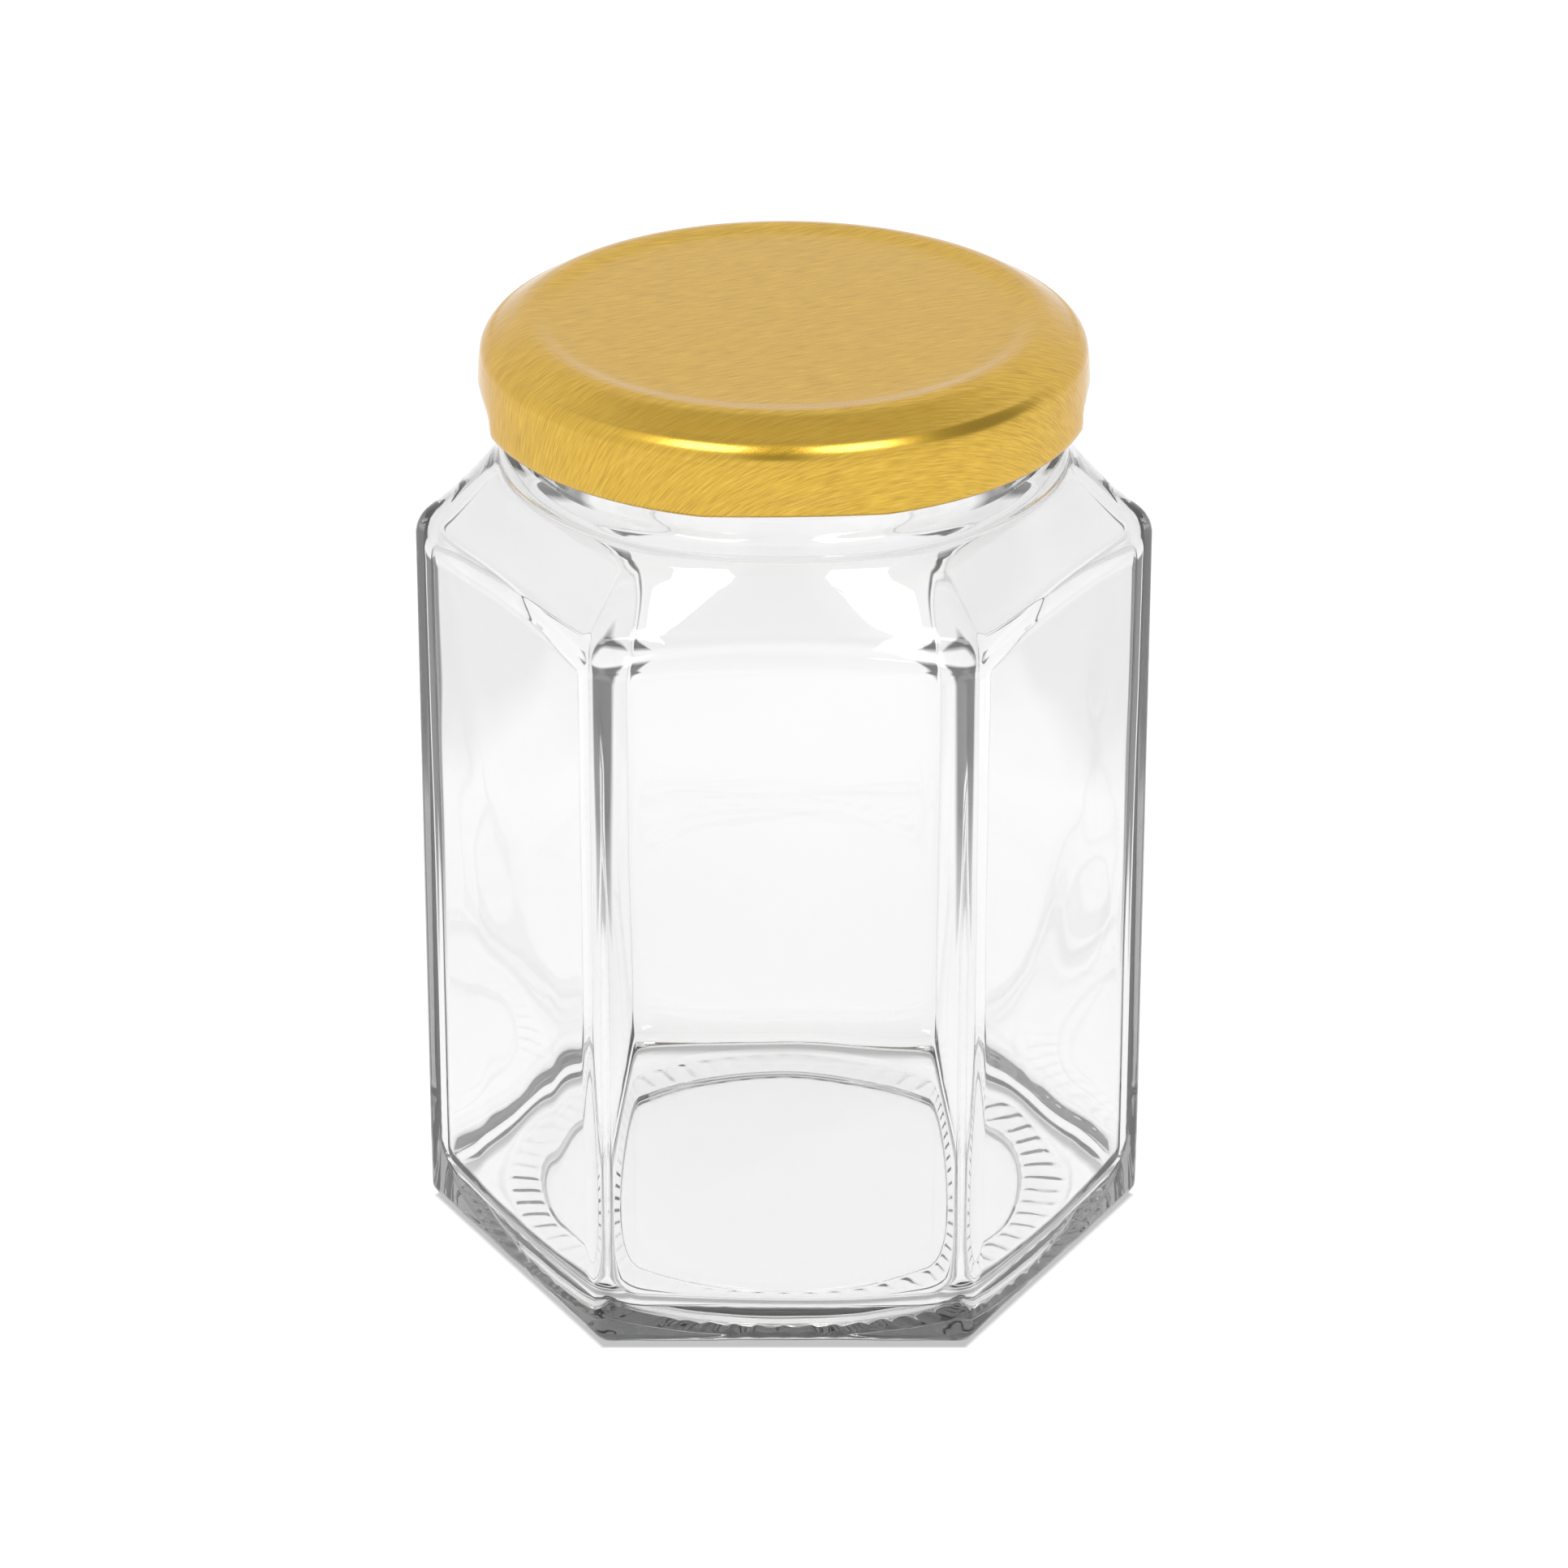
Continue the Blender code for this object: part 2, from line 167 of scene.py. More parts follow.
# ---- floor ----
FLOOR_RADIUS = 30.0
FLOOR_SEGMENTS = 64
FLOOR_DROP = 0.0002             # keeps the floor clear of the jar's underside
FLOOR_COLOUR = (0.35, 0.35, 0.35)
FLOOR_GLOW = 0.75
SURROUND_DARKNESS = 0.85        # of the floor round the jar, where it is seen through glass
NEAR_EDGE = (0.060, 0.110)      # lit inside this distance from the axis
FAR_EDGE = (0.32, 0.46)         # and lit again beyond this one
STRIP_DEGREES = (0, 90, 180, 315)
STRIP_EDGE = (0.052, 0.064)     # half of a lit strip's width
STRIP_START = (0.0, 0.02)
SHADE_UNDER_JAR = 0.90
SHADE_EDGE = (0.028, 0.034)
CONTACT_SHADE = 0.5             # a thin line where the heel meets the floor
CONTACT_INNER_EDGE = (APOTHEM - 0.0042, APOTHEM - 0.0026)
CONTACT_OUTER_EDGE = (APOTHEM - 0.0008, APOTHEM - 0.0002)
FLAT_DEGREES = (30, 90, 150)    # directions square to the hexagon's flats

# ---- sky: limits on the parts of a unit direction ----
WORLD_STRENGTH = 1.02
SKY = ((0.0, WHITE), (0.70, (0.97, 0.97, 0.97)), (0.88, (0.68, 0.67, 0.66)))
GAP_DARKNESS = 0.7              # between the softboxes
GAP_MIDDLE_X = -0.05
GAP_X_EDGE = (0.13, 0.24)
GAP_Y_EDGE = (-0.45, -0.30)
GAP_Z_EDGE = (0.05, 0.20)
DARK_SIDE = (0.83, -0.06, 0.55)
DARK_SIDE_EDGE = (0.88, 0.95)
SIDE_DARKNESS = 0.65

# ---- softboxes and camera ----
SOFTBOX_AZIMUTHS = {"softbox_left": math.radians(-38), "softbox_right": math.radians(34)}
SOFTBOX_ELEVATION = math.radians(52)
SOFTBOX_SIZE = 0.42
SOFTBOX_POWER = 3.4
SOFTBOX_DISTANCE = 1.2
CAMERA_ELEVATION = math.radians(25.5)
CAMERA_DISTANCE = 0.750
CAMERA_AIM_Z = 0.0516
CAMERA_LENS = 155.8
CAMERA_SENSOR = 36.0
CAMERA_CLIP_START = 0.01


# ---- node helpers ----
def set_inputs(node, **values):
    """Set a node's inputs; an underscore in a name stands for a space."""
    for name, value in values.items():
        node.inputs[name.replace("_", " ")].default_value = value
    return node


def add_node(tree, kind, **values):
    """A node with some of its inputs set by name."""
    return set_inputs(tree.nodes.new(kind), **values)


def new_material(name):
    """A node material, its tree and its Principled shader, already joined to the output."""
    made = bpy.data.materials.new(name)
    made.use_nodes = True
    tree = made.node_tree
    return made, tree, tree.nodes["Principled BSDF"]


def ranged(tree, value, old, new):
    """A value carried from one range to another, and kept inside it."""
    node = add_node(tree, "ShaderNodeMapRange",
                    From_Min=old[0], From_Max=old[1], To_Min=new[0], To_Max=new[1])
    tree.links.new(value, node.inputs["Value"])
    return node.outputs["Result"]


def arithmetic(tree, operation, *operands):
    """One Math node; each operand is a socket or a number."""
    node = tree.nodes.new("ShaderNodeMath")
    node.operation = operation
    for socket, operand in zip(node.inputs, operands):
        if isinstance(operand, (int, float)):
            socket.default_value = operand
        else:
            tree.links.new(operand, socket)
    return node.outputs["Value"]


def product(tree, first, *others):
    """Values multiplied together."""
    for other in others:
        first = arithmetic(tree, "MULTIPLY", first, other)
    return first


def rest_of(tree, value):
    """What a share leaves of 1."""
    return arithmetic(tree, "SUBTRACT", 1.0, value)


def reach_along(tree, vector, direction):
    """How far a vector reaches along a fixed direction."""
    node = tree.nodes.new("ShaderNodeVectorMath")
    node.operation = "DOT_PRODUCT"
    node.inputs[1].default_value = direction
    tree.links.new(vector, node.inputs[0])
    return node.outputs["Value"]


def colour_ramp(tree, value, *stops):
    """A colour ramp from (position, colour) stops."""
    node = tree.nodes.new("ShaderNodeValToRGB")
    ramp = node.color_ramp
    while len(ramp.elements) < len(stops):
        ramp.elements.new(0.5)
    for element, (position, colour) in zip(ramp.elements, stops):
        element.position = position
        element.color = (*colour, 1.0)
    tree.links.new(value, node.inputs["Fac"])
    return node.outputs["Color"]


def solid_noise(tree, size, detail):
    """Noise through the solid, with features of a given size."""
    place = tree.nodes.new("ShaderNodeTexCoord").outputs["Object"]
    cloud = add_node(tree, "ShaderNodeTexNoise", Scale=1.0 / size, Detail=detail)
    tree.links.new(place, cloud.inputs["Vector"])
    return cloud.outputs["Fac"]


def add_bump(tree, shader, height, strength, depth):
    """Fine relief in the shading of a surface."""
    bump = add_node(tree, "ShaderNodeBump", Strength=strength, Distance=depth)
    tree.links.new(height, bump.inputs["Height"])
    tree.links.new(bump.outputs["Normal"], shader.inputs["Normal"])


def coating(name, dark, pale, cloud_size, speck_size, speck_detail, speck_range, roughness,
            bump_strength, bump_depth):
    """A matt coating with cloudy colour, and specks in its gloss and relief."""
    made, tree, shader = new_material(name)
    clouds = solid_noise(tree, cloud_size, detail=4.0)
    specks = solid_noise(tree, speck_size, speck_detail)
    tree.links.new(colour_ramp(tree, clouds, (0.35, dark), (0.65, pale)), shader.inputs["Base Color"])
    tree.links.new(ranged(tree, specks, speck_range, roughness), shader.inputs["Roughness"])
    add_bump(tree, shader, specks, bump_strength, bump_depth)
    return made


# ---- small sums ----
def clamp(value):
    """A number kept between 0 and 1."""
    return min(1.0, max(0.0, value))


def eased(value):
    """A number kept between 0 and 1, with a soft start and end."""
    share = clamp(value)
    return share * share * (3 - 2 * share)


def wave(x, y, z, length, seed):
    """Smooth noise between -1 and 1 with a given wavelength."""
    return noise.noise(Vector((x, y, z)) / length + Vector((seed, 0.0, 0.0)))


def level(angle):
    """The level unit vector at an angle from +X."""
    return math.cos(angle), math.sin(angle), 0.0


def full_turn(count):
    """Evenly spaced angles of one turn."""
    return [2 * math.pi * step / count for step in range(count)]


# ---- hexagon with rounded corners ----
def corner_radius(apothem, fillet):
    """Distance from the axis to the middle of a rounded corner."""
    return (apothem - fillet) / math.cos(math.pi / 6) + fillet


def hexagon_radius(angle, apothem, fillet):
    """Polar radius of the rounded hexagon, with a corner at angle 0."""
    sector = math.pi / 3
    offset = abs((angle + sector / 2) % sector - sector / 2)
    centre = (apothem - fillet) / math.cos(sector / 2)
    tangent = math.atan2(fillet * math.sin(sector / 2), centre + fillet * math.cos(sector / 2))
    if offset >= tangent:
        return apothem / math.cos(sector / 2 - offset)
    return centre * math.cos(offset) + math.sqrt(fillet ** 2 - (centre * math.sin(offset)) ** 2)


def hexagon_angles(per_side):
    """Angles of one turn, closer together at the corners."""
    sector = math.pi / 3
    offsets = []
    for step in range(per_side):
        share = 2 * step / per_side - 1
        offsets.append(0.5 * sector * (1.5 * share - 0.5 * share ** 3))
    return [sector * (side + 0.5) + offset for side in range(6) for offset in offsets]


def cornerness(angle, apothem, fillet):
    """0 in the middle of a flat, 1 at a corner."""
    reach = corner_radius(apothem, fillet) - apothem
    return (hexagon_radius(angle, apothem, fillet) - apothem) / reach


# ---- profiles: lists of (radius, height) ----
def arc(centre_r, centre_z, radius, start, end, steps):
    """Points of a round stretch; angles in degrees from the outward direction."""
    turns = [math.radians(start + (end - start) * step / steps) for step in range(steps + 1)]
    return [(centre_r + radius * math.cos(turn), centre_z + radius * math.sin(turn)) for turn in turns]


def line(start, end, steps):
    """Points of a straight stretch, without its end point."""
    return [
        (start[0] + (end[0] - start[0]) * step / steps, start[1] + (end[1] - start[1]) * step / steps)
        for step in range(steps)
    ]


def smooth(points, steps):
    """A Catmull-Rom curve through the points."""
    padded = [points[0]] + points + [points[-1]]
    curve = []
    for a, b, c, d in zip(padded, padded[1:], padded[2:], padded[3:]):
        for step in range(steps):
            t = step / steps
            curve.append(tuple(
                0.5 * (2 * q + (r - p) * t + (2 * p - 5 * q + 4 * r - s) * t * t
                       + (3 * q - p - 3 * r + s) * t ** 3)
                for p, q, r, s in zip(a, b, c, d)))
    return curve + [points[-1]]


def outer_profile(wall_r, edge_z, fillet):
    """Outside of the jar, from the underside's centre to the neck root."""
    hollow = smooth([
        (0.0, PUSH_UP),
        (0.6 * BEARING_INNER, 0.95 * PUSH_UP),
        (BEARING_INNER - 0.0014, 0.75 * PUSH_UP),
        (BEARING_INNER, 0.0),
    ], steps=6)
    bearing = line((BEARING_INNER, 0.0), (BEARING_OUTER, 0.0), steps=14)[1:]
    apron = [(BEARING_OUTER + out, rise * HEEL_Z) for out, rise in APRON]
    heel_z = HEEL_Z + HEEL_RADIUS
    heel = arc(wall_r - HEEL_RADIUS, heel_z, HEEL_RADIUS, start=-90, end=0, steps=10)
    slope = math.degrees(math.atan2(NECK_ROOT_Z - edge_z, wall_r - NECK_ROOT_RADIUS))
    tangent = fillet * math.tan(math.radians(90 - slope) / 2)
    wall = line((wall_r, heel_z), (wall_r, edge_z - tangent), steps=12)[1:]
    edge = arc(wall_r - fillet, edge_z - tangent, fillet, start=0, end=90 - slope, steps=10)
    rise = line(edge[-1], (NECK_ROOT_RADIUS + 0.0010, NECK_ROOT_Z - 0.0008), steps=8)[1:]
    return hollow + bearing + apron + heel + wall + edge + rise


def neck_profile():
    """Outside of the neck, over the rim and down the bore."""
    wall_foot = (NECK_WALL_RADIUS, BEAD_Z + 0.0032)
    rim_z = RIM_Z - RIM_ROUND
    outside = smooth([
        (NECK_ROOT_RADIUS + 0.0008, NECK_ROOT_Z - 0.0007),
        (NECK_ROOT_RADIUS + 0.0001, NECK_ROOT_Z + 0.0004),
        (BEAD_RADIUS, BEAD_Z),
        (BEAD_RADIUS - 0.0002, BEAD_Z + 0.0010),
        (BEAD_RADIUS - 0.0010, BEAD_Z + 0.0020),
        wall_foot,
    ], steps=4)
    wall = line(wall_foot, (NECK_WALL_RADIUS, rim_z), steps=40)[1:]
    rim_outer = arc(NECK_WALL_RADIUS - RIM_ROUND, rim_z, RIM_ROUND, start=0, end=90, steps=6)
    rim_inner = arc(BORE_RADIUS + RIM_ROUND, rim_z, RIM_ROUND, start=90, end=180, steps=6)
    bore = line((BORE_RADIUS, rim_z), (BORE_RADIUS, BORE_FOOT_Z + 0.0020), steps=6)[1:]
    return outside + wall + rim_outer + rim_inner + bore


def inner_profile(wall_r, edge_z, heel_radius):
    """Inside of the jar, from the shoulder down to the floor's centre."""
    foot_z = edge_z - INNER_SHOULDER_DROP
    top_r = wall_r + WALL - WALL_TOP
    wall_top_z, wall_foot_z = foot_z - 0.0024, FLOOR_Z + heel_radius
    shoulder = smooth([
        (BORE_RADIUS, BORE_FOOT_Z + 0.0012),
        (BORE_RADIUS + 0.0008, BORE_FOOT_Z),
        (0.5 * (BORE_RADIUS + top_r), 0.5 * (BORE_FOOT_Z + foot_z) + 0.0004),
        (top_r - 0.0010, foot_z + 0.0006),
        (top_r, foot_z - 0.0014),
    ], steps=6)
    wall = []
    for _, share in line((0.0, 0.0), (0.0, 1.0), steps=21):
        thickened = 0.5 - 0.5 * math.cos(math.pi * min(1.0, share / TAPER_SHARE))
        wall.append((top_r + (wall_r - top_r) * thickened,
                     wall_top_z * (1 - share) + wall_foot_z * share))
    heel = arc(wall_r - heel_radius, wall_foot_z, heel_radius, start=0, end=-90, steps=12)
    middle = (0.0, FLOOR_Z + FLOOR_CROWN)
    return shoulder + wall + heel + line(heel[-1], middle, steps=8)[1:] + [middle]


# ---- mesh helpers ----
def ring_at(radius, height, angles):
    """The points of one level ring."""
    return [(radius * math.cos(angle), radius * math.sin(angle), height) for angle in angles]


def loft(mesh, rings):
    """Skin rings of equal length; the first and last are single points."""
    rows = []
    for index, ring in enumerate(rings):
        is_pole = index in (0, len(rings) - 1)
        rows.append([mesh.verts.new(point) for point in (ring[:1] if is_pole else ring)])
    for lower, upper in zip(rows, rows[1:]):
        count = max(len(lower), len(upper))
        for here in range(count):
            ahead = (here + 1) % count
            corners = [lower[here % len(lower)], lower[ahead % len(lower)],
                       upper[ahead % len(upper)], upper[here % len(upper)]]
            mesh.faces.new(list(dict.fromkeys(corners)))
    return rows


def make_object(name, mesh, *looks):
    """Turn a bmesh into a smooth-shaded object."""
    bmesh.ops.recalc_face_normals(mesh, faces=mesh.faces)
    data = bpy.data.meshes.new(name)
    mesh.to_mesh(data)
    mesh.free()
    for look in looks:
        data.materials.append(look)
    data.shade_smooth()
    made = bpy.data.objects.new(name, data)
    bpy.context.scene.collection.objects.link(made)
    return made


# ---- glass ----
def glass_material():
    """Clear soda-lime glass, faintly wavy and very slightly absorbing."""
    made, tree, shader = new_material("clear_glass")
    set_inputs(shader, Base_Color=(*WHITE, 1.0), Transmission_Weight=1.0, IOR=1.5)
    unevenness = solid_noise(tree, size=0.014, detail=1.0)
    tree.links.new(ranged(tree, unevenness, (0.50, 0.75), (0.0, 0.02)), shader.inputs["Roughness"])
    add_bump(tree, shader, unevenness, strength=0.10, depth=0.0001)
    body = add_node(tree, "ShaderNodeVolumeAbsorption", Color=(*GLASS_BODY, 1.0), Density=GLASS_DENSITY)
    tree.links.new(body.outputs["Volume"], tree.nodes["Material Output"].inputs["Volume"])
    return made


def ridge_bump(angle, height):
    """How far the thread ridges stand out of the neck wall."""
    pitch = 2 * math.pi / LUG_COUNT
    offset = (angle - FIRST_LUG + RIDGE_BEFORE) % pitch - RIDGE_BEFORE
    if offset > RIDGE_AFTER:
        return 0.0
    ends = min(1.0, (offset + RIDGE_BEFORE) / LUG_EDGE, (RIDGE_AFTER - offset) / LUG_EDGE)
    middle_z = RIDGE_MIDDLE_Z + LEAD * offset / (2 * math.pi)
    across = abs(height - middle_z) / RIDGE_HALF
    if across >= 1.0:
        return 0.0
    return RIDGE_HEIGHT * ends * math.cos(0.5 * math.pi * across) ** RIDGE_FULLNESS


def knurl(angle, radius):
    """Radial grooves across the round bearing ring of the underside."""
    across = (radius - BEARING_INNER) / (BEARING_OUTER - BEARING_INNER)
    if across <= 0.0 or across >= 1.0:
        return 0.0
    ends = min(1.0, across / KNURL_END, (1 - across) / KNURL_END)
    left = KNURL_LEFT + KNURL_SWING * wave(*level(angle), KNURL_SWING_LENGTH, SEED_KNURL)
    groove = (0.5 + 0.5 * math.cos(KNURL_COUNT * angle)) ** 2
    return KNURL_DEPTH * ends * max(0.0, left) * groove


def pressed_outside(angle, radius, height):
    """The underside's grooves, and the uneven patches low on the outside."""
    if height < 0.5 * FLOOR_Z:
        height += knurl(angle, radius)
    if radius > MOTTLE_RADIUS and height < MOTTLE_TOP:
        x, y, _ = level(angle)
        patch = 0.5 + wave(x * radius, y * radius, height, MOTTLE_LENGTH, SEED_MOTTLE)
        radius -= max(0.0, MOTTLE_DEPTH * patch * (1 - height / MOTTLE_TOP))
    return radius, height


def threaded_neck(angle, radius, height):
    """The thread ridges on the neck wall."""
    if radius >= NECK_WALL_RADIUS - 0.0001:
        radius += ridge_bump(angle, height)
    return radius, height


def wavy_inside(angle, radius, height):
    """The slight waves of the inside."""
    x, y, _ = level(angle)
    push = INNER_WAVINESS * wave(x * radius, y * radius, height, INNER_WAVE_ACROSS, SEED_ACROSS)
    height += INNER_WAVINESS * wave(x * radius, y * radius, height, INNER_WAVE_UP, SEED_UP)
    return radius * (1 + push / max(radius, 0.01)), height


def blended_rings(flat_profile, corner_profile, apothem, fillet, detail):
    """Rings between the profiles of a flat and a corner, with one surface's fine detail."""
    angles = hexagon_angles(GLASS_STEPS)
    shares = [cornerness(angle, apothem, fillet) for angle in angles]
    rings = []
    for (flat_r, flat_z), (point_r, point_z) in zip(flat_profile, corner_profile):
        ring = []
        for angle, share in zip(angles, shares):
            radius, height = detail(
                angle, flat_r + share * (point_r - flat_r), flat_z + share * (point_z - flat_z))
            ring += ring_at(radius, height, [angle])
        rings.append(ring)
    return rings


def build_glass():
    """The fine glass, with the CAD jar's profile."""
    outer = blended_rings(
        outer_profile(APOTHEM, SHOULDER_FLAT_Z, SHOULDER_FLAT_FILLET),
        outer_profile(CORNER_REACH, SHOULDER_CORNER_Z, SHOULDER_CORNER_FILLET),
        APOTHEM, CORNER_FILLET, pressed_outside)
    neck = blended_rings(neck_profile(), neck_profile(), APOTHEM, CORNER_FILLET, threaded_neck)
    inner_apothem = APOTHEM - WALL
    inner = blended_rings(
        inner_profile(inner_apothem, SHOULDER_FLAT_Z, INNER_HEEL),
        inner_profile(corner_radius(inner_apothem, INNER_FILLET), SHOULDER_CORNER_Z, INNER_HEEL_CORNER),
        inner_apothem, INNER_FILLET, wavy_inside)
    mesh = bmesh.new()
    loft(mesh, outer + neck + inner)
    glass = make_object("jar_glass", mesh, glass_material())
    glass.visible_shadow = False
    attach(glass, "jar")
    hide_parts("glass_jar")


# ---- lid ----
def grain(tree, along, across, detail):
    """Noise drawn out along one direction of the flat sheet that the lid was pressed from."""
    sheet = tree.nodes.new("ShaderNodeUVMap")
    sheet.uv_map = "sheet"
    turned = add_node(tree, "ShaderNodeMapping", Rotation=(0.0, 0.0, -GRAIN_TURN))
    tree.links.new(sheet.outputs["UV"], turned.inputs["Vector"])
    stretched = add_node(tree, "ShaderNodeMapping", Scale=(1.0 / along, 1.0 / across, 1.0))
    tree.links.new(turned.outputs["Vector"], stretched.inputs["Vector"])
    streaks = add_node(tree, "ShaderNodeTexNoise", Scale=1.0, Detail=detail, Roughness=0.6)
    tree.links.new(stretched.outputs["Vector"], streaks.inputs["Vector"])
    return streaks.outputs["Fac"]


def gold_material():
    """Gold lacquer over brushed tinplate; the grain runs one way across the sheet."""
    made, tree, shader = new_material("gold_lacquer")
    fine = product(tree, grain(tree, along=0.0026, across=0.00018, detail=1.5), FINE_GRAIN)
    broad = product(tree, grain(tree, along=0.0060, across=0.00040, detail=1.0), 1 - FINE_GRAIN)
    strokes = arithmetic(tree, "ADD", fine, broad)
    colour = colour_ramp(tree, strokes, (0.36, GOLD_DARK), (0.50, GOLD), (0.64, GOLD_PALE))
    tree.links.new(colour, shader.inputs["Base Color"])
    tree.links.new(ranged(tree, strokes, (0.38, 0.62), (0.33, 0.22)), shader.inputs["Roughness"])
    add_bump(tree, shader, strokes, strength=0.13, depth=0.00003)
    set_inputs(shader, Metallic=1.0, Specular_Tint=(*GOLD_EDGE, 1.0), Coat_Weight=0.85, Coat_Roughness=0.16)
    return made


def inside_material():
    """Pale lacquer on the lid's inside."""
    return coating("lid_inside_lacquer", LACQUER_DARK, LACQUER, cloud_size=0.006,
                   speck_size=0.0004, speck_detail=2.0, speck_range=(0.35, 0.65),
                   roughness=(0.42, 0.28), bump_strength=0.15, bump_depth=0.00003)


def lug_offset(angle):
    """Angle from the nearest lug's middle."""
    pitch = 2 * math.pi / LUG_COUNT
    return abs((angle - FIRST_LUG + pitch / 2) % pitch - pitch / 2)


def lug_share(angle):
    """1 across the middle of a lug, 0 between the lugs, eased at its ends."""
    return eased((LUG_HALF_WIDTH + LUG_EDGE - lug_offset(angle)) / LUG_EDGE)


def lug_flattening(angle, height):
    """How far the skirt is pressed in at a lug, fading out above the curl."""
    reach = LUG_HALF_WIDTH + LUG_EDGE
    offset = lug_offset(angle)
    if offset >= reach:
        return 0.0
    chord = LID_RADIUS - LID_RADIUS * math.cos(reach) / math.cos(offset)
    return LUG_FLATTENING * chord * eased((LID_BOTTOM_Z + LUG_FADE_Z - height) / LUG_FADE_HEIGHT)


def lid_outside():
    """Outside of the lid, from the panel's centre down to the curl."""
    panel_z = LID_TOP_Z - PANEL_RECESS
    cove = [(PANEL_RADIUS + out, panel_z + rise * PANEL_RECESS) for out, rise in LID_COVE]
    shoulder = [(LID_RADIUS - inwards, LID_TOP_Z - down) for inwards, down in LID_SHOULDER]
    skirt_end = (LID_RADIUS, LID_BOTTOM_Z + CURL_RADIUS + LID_SKIRT_END)
    panel = line((0.0, panel_z), (PANEL_RADIUS, panel_z), steps=10)
    return panel + smooth(cove + shoulder + [skirt_end], steps=5)


def lid_inside(outside):
    """Inside of the sheet, from the curl up to the panel's centre."""
    inside = []
    for before, here, after in zip(outside, outside[1:], outside[2:]):
        along_r, along_z = after[0] - before[0], after[1] - before[1]
        length = math.hypot(along_r, along_z)
        inside.append((here[0] + SHEET * along_z / length, here[1] - SHEET * along_r / length))
    return list(reversed(inside)) + [(0.0, outside[0][1] - SHEET)]


def lid_ring(radius, height, angles, curl_share):
    """One ring of the lid, with the lugs and their flattening."""
    ring = []
    lug_reach = LID_RADIUS - 2 * CURL_RADIUS - LUG_TIP_RADIUS
    for angle in angles:
        share = lug_share(angle) * curl_share
        here_r = radius - lug_flattening(angle, height) * (1 - share) - share * lug_reach
        here_z = height - share * (1 - LUG_SQUEEZE) * (height - LID_BOTTOM_Z)
        ring += ring_at(here_r, here_z, [angle])
    return ring


def lay_sheet(mesh, rows, profile, angles):
    """UVs in metres: where each point lay on the flat sheet before pressing."""
    sheet = mesh.loops.layers.uv.new("sheet")
    travelled = 0.0
    place = {rows[0][0]: (0.0, 0.0)}
    for before, after, row in zip(profile, profile[1:], rows[1:]):
        travelled += math.hypot(after[0] - before[0], after[1] - before[1])
        for vert, angle in zip(row, angles):
            place[vert] = (travelled * math.cos(angle), travelled * math.sin(angle))
    for face in mesh.faces:
        for loop in face.loops:
            loop[sheet].uv = place[loop.vert]


def paint_inside(mesh, rows, first_row):
    """Faces between rows from first_row on take the second material."""
    inner = {vert for row in rows[first_row:] for vert in row}
    for face in mesh.faces:
        if all(vert in inner for vert in face.verts):
            face.material_index = 1


def build_lid():
    """The fine lid: gold outside and curl, pale lacquer inside."""
    outside = lid_outside()
    centre_r, centre_z = LID_RADIUS - CURL_RADIUS, LID_BOTTOM_Z + CURL_RADIUS
    curl = arc(centre_r, centre_z, CURL_RADIUS, start=-20, end=-240, steps=14)
    inside = lid_inside(outside)
    profile = outside + curl + inside
    start, end = LUG_CURL_RANGE
    curl_shares = [clamp(((centre_r - radius) / CURL_RADIUS - start) / (end - start)) for radius, _ in curl]
    shares = [0.0] * len(outside) + curl_shares + [0.0] * len(inside)
    angles = full_turn(LID_STEPS)
    mesh = bmesh.new()
    rows = loft(mesh, [lid_ring(*point, angles, share) for point, share in zip(profile, shares)])
    lay_sheet(mesh, rows, profile, angles)
    paint_inside(mesh, rows, len(outside) + len(curl) - PALE_CURL_ROWS)
    lid = make_object("lid_gold", mesh, gold_material(), inside_material())
    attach(lid, "lid")
    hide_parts("lid_shell")


# ---- gasket ----
def compound_material():
    """Soft sealing compound: matt, slightly mottled and faintly grainy."""
    return coating("sealing_compound", COMPOUND_DARK, COMPOUND, cloud_size=0.004,
                   speck_size=0.0003, speck_detail=3.0, speck_range=(0.3, 0.7),
                   roughness=(0.70, 0.52), bump_strength=0.25, bump_depth=0.00004)


def gasket_profile():
    """Section of the poured ring: flat below, following the lid's channel above."""
    outer_r, inner_r, bottom_z = GASKET_HIGH.x, GASKET_INNER_RADIUS, GASKET_LOW.z
    below = arc(inner_r + GASKET_INNER_ROUND, bottom_z + GASKET_INNER_ROUND, GASKET_INNER_ROUND,
                start=180, end=270, steps=4)
    below += arc(outer_r - GASKET_OUTER_ROUND, bottom_z + GASKET_OUTER_ROUND, GASKET_OUTER_ROUND,
                 start=270, end=345, steps=4)
    channel = [point for point in lid_inside(lid_outside()) if inner_r < point[0] < outer_r]
    return below + [(radius, height - GASKET_CLEARANCE) for radius, height in channel]


def build_gasket():
    """The soft sealing ring in the lid's channel."""
    mesh = bmesh.new()
    rows = []
    for radius, height in gasket_profile():
        rows.append([mesh.verts.new(point) for point in ring_at(radius, height, full_turn(GASKET_STEPS))])
    for lower, upper in zip(rows, rows[1:] + rows[:1]):
        for here in range(GASKET_STEPS):
            ahead = (here + 1) % GASKET_STEPS
            mesh.faces.new((lower[here], lower[ahead], upper[ahead], upper[here]))
    gasket = make_object("gasket_ring", mesh, compound_material())
    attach(gasket, "gasket")
    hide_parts("sealing_gasket")


# ---- studio ----
def strip_share(tree, place, direction):
    """1 on the floor's strip that leads away from the jar in a direction, 0 beside it."""
    across = reach_along(tree, place, level(direction + math.pi / 2))
    beside = ranged(tree, arithmetic(tree, "ABSOLUTE", across), STRIP_EDGE, (1.0, 0.0))
    ahead = ranged(tree, reach_along(tree, place, level(direction)), STRIP_START, (0.0, 1.0))
    return product(tree, beside, ahead)


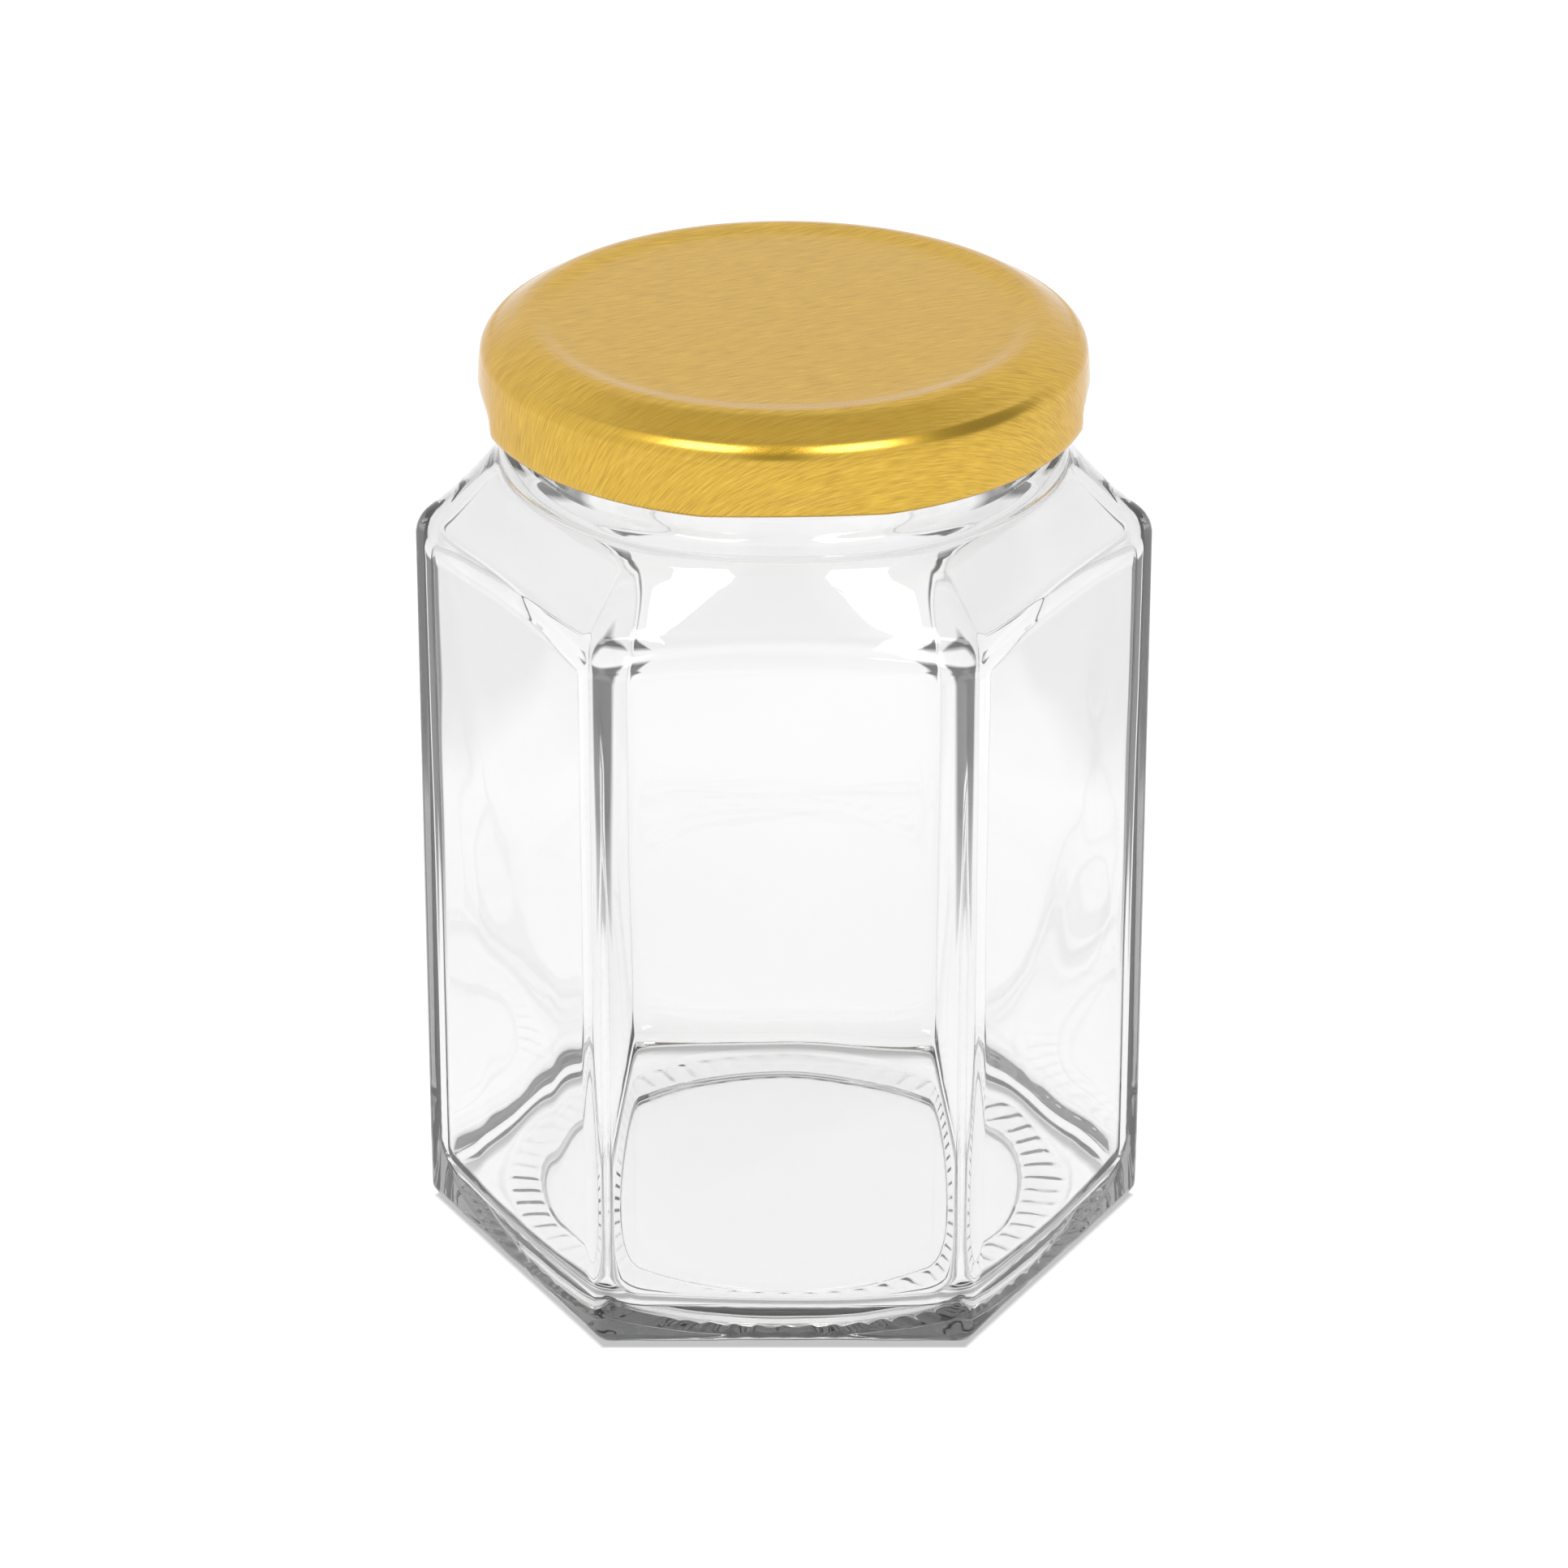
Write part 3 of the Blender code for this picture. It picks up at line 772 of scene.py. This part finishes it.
def flat_distance(tree, place):
    """Distance from the axis, measured square to the nearest flat of the hexagon."""
    farthest = 0.0
    for degrees in FLAT_DEGREES:
        across = reach_along(tree, place, level(math.radians(degrees)))
        farthest = arithmetic(tree, "MAXIMUM", farthest, arithmetic(tree, "ABSOLUTE", across))
    return farthest


def floor_light(tree):
    """How bright the floor is at each place.

    Glass looks clear because of the dark things it bends into its edges. Seen through the jar, the
    floor is dark in a band round it, apart from a few strips. It is shaded under the jar for every ray.
    """
    place = tree.nodes.new("ShaderNodeNewGeometry").outputs["Position"]
    length = tree.nodes.new("ShaderNodeVectorMath")
    length.operation = "LENGTH"
    tree.links.new(place, length.inputs[0])
    distance = length.outputs["Value"]
    lit = arithmetic(tree, "MAXIMUM", ranged(tree, distance, NEAR_EDGE, (1.0, 0.0)),
                     ranged(tree, distance, FAR_EDGE, (0.0, 1.0)))
    for degrees in STRIP_DEGREES:
        lit = arithmetic(tree, "MAXIMUM", lit, strip_share(tree, place, math.radians(degrees)))
    through_glass = tree.nodes.new("ShaderNodeLightPath").outputs["Is Transmission Ray"]
    surround = product(tree, through_glass, rest_of(tree, lit), SURROUND_DARKNESS)
    under = ranged(tree, distance, SHADE_EDGE, (SHADE_UNDER_JAR, 1.0))
    from_axis = flat_distance(tree, place)
    contact = arithmetic(tree, "MINIMUM",
                         ranged(tree, from_axis, CONTACT_INNER_EDGE, (0.0, CONTACT_SHADE)),
                         ranged(tree, from_axis, CONTACT_OUTER_EDGE, (CONTACT_SHADE, 0.0)))
    return product(tree, rest_of(tree, surround), under, rest_of(tree, contact))


def build_floor():
    """A wide, pale, faintly glowing floor."""
    look, tree, shader = new_material("floor")
    light = floor_light(tree)
    tree.links.new(colour_ramp(tree, light, (0.0, BLACK), (1.0, FLOOR_COLOUR)), shader.inputs["Base Color"])
    tree.links.new(product(tree, light, FLOOR_GLOW), shader.inputs["Emission Strength"])
    set_inputs(shader, Roughness=1.0, Specular_IOR_Level=0.0, Emission_Color=(*WHITE, 1.0))
    mesh = bmesh.new()
    bmesh.ops.create_circle(mesh, cap_ends=True, radius=FLOOR_RADIUS, segments=FLOOR_SEGMENTS)
    floor = make_object("floor", mesh, look)
    floor.location.z = JAR_LOW.z - FLOOR_DROP


def build_world():
    """Bright towards the horizon, dimmer overhead, between the softboxes and high on the right."""
    world = bpy.data.worlds.new("studio")
    bpy.context.scene.world = world
    world.use_nodes = True
    tree = world.node_tree
    direction = tree.nodes.new("ShaderNodeTexCoord").outputs["Generated"]
    split = tree.nodes.new("ShaderNodeSeparateXYZ")
    tree.links.new(direction, split.inputs["Vector"])
    x, y, z = split.outputs
    beside = arithmetic(tree, "ABSOLUTE", arithmetic(tree, "SUBTRACT", x, GAP_MIDDLE_X))
    gap = product(
        tree,
        ranged(tree, beside, GAP_X_EDGE, (1.0, 0.0)),
        ranged(tree, y, GAP_Y_EDGE, (1.0, 0.0)),
        ranged(tree, z, GAP_Z_EDGE, (0.0, 1.0)),
        GAP_DARKNESS)
    side = ranged(tree, reach_along(tree, direction, DARK_SIDE), DARK_SIDE_EDGE, (0.0, SIDE_DARKNESS))
    dimmed = tree.nodes.new("ShaderNodeVectorMath")
    dimmed.operation = "SCALE"
    tree.links.new(colour_ramp(tree, z, *SKY), dimmed.inputs[0])
    tree.links.new(rest_of(tree, arithmetic(tree, "MAXIMUM", gap, side)), dimmed.inputs["Scale"])
    background = set_inputs(tree.nodes["Background"], Strength=WORLD_STRENGTH)
    tree.links.new(dimmed.outputs["Vector"], background.inputs["Color"])


def facing(back):
    """Turns a light or camera so that its back points along a direction."""
    return (-back).to_track_quat("-Z", "Y").to_euler()


def build_softboxes():
    """Two square softboxes in front of the jar, above it and to either side."""
    for name, azimuth in SOFTBOX_AZIMUTHS.items():
        data = bpy.data.lights.new(name, "AREA")
        data.size = SOFTBOX_SIZE
        data.energy = SOFTBOX_POWER
        light = bpy.data.objects.new(name, data)
        spread = math.cos(SOFTBOX_ELEVATION)
        back = Vector((math.sin(azimuth) * spread, -math.cos(azimuth) * spread, math.sin(SOFTBOX_ELEVATION)))
        light.location = Vector((0.0, 0.0, LID_TOP_Z)) + back * SOFTBOX_DISTANCE
        light.rotation_euler = facing(back)
        bpy.context.scene.collection.objects.link(light)


def build_camera():
    """The camera looks along +Y and down at the jar."""
    data = bpy.data.cameras.new("camera")
    data.lens = CAMERA_LENS
    data.sensor_width = CAMERA_SENSOR
    data.clip_start = CAMERA_CLIP_START
    camera = bpy.data.objects.new("camera", data)
    back = Vector((0.0, -math.cos(CAMERA_ELEVATION), math.sin(CAMERA_ELEVATION)))
    camera.location = Vector((0.0, 0.0, CAMERA_AIM_Z)) + back * CAMERA_DISTANCE
    camera.rotation_euler = facing(back)
    bpy.context.scene.collection.objects.link(camera)
    bpy.context.scene.camera = camera


def set_light_paths():
    """Plain colours, and enough bounces to leave the thick glass again."""
    scene = bpy.context.scene
    scene.view_settings.view_transform = "Standard"
    scene.cycles.max_bounces = 32
    scene.cycles.glossy_bounces = 24
    scene.cycles.transmission_bounces = 32


build_camera()
build_world()
build_floor()
build_softboxes()
build_glass()
build_lid()
build_gasket()
set_light_paths()
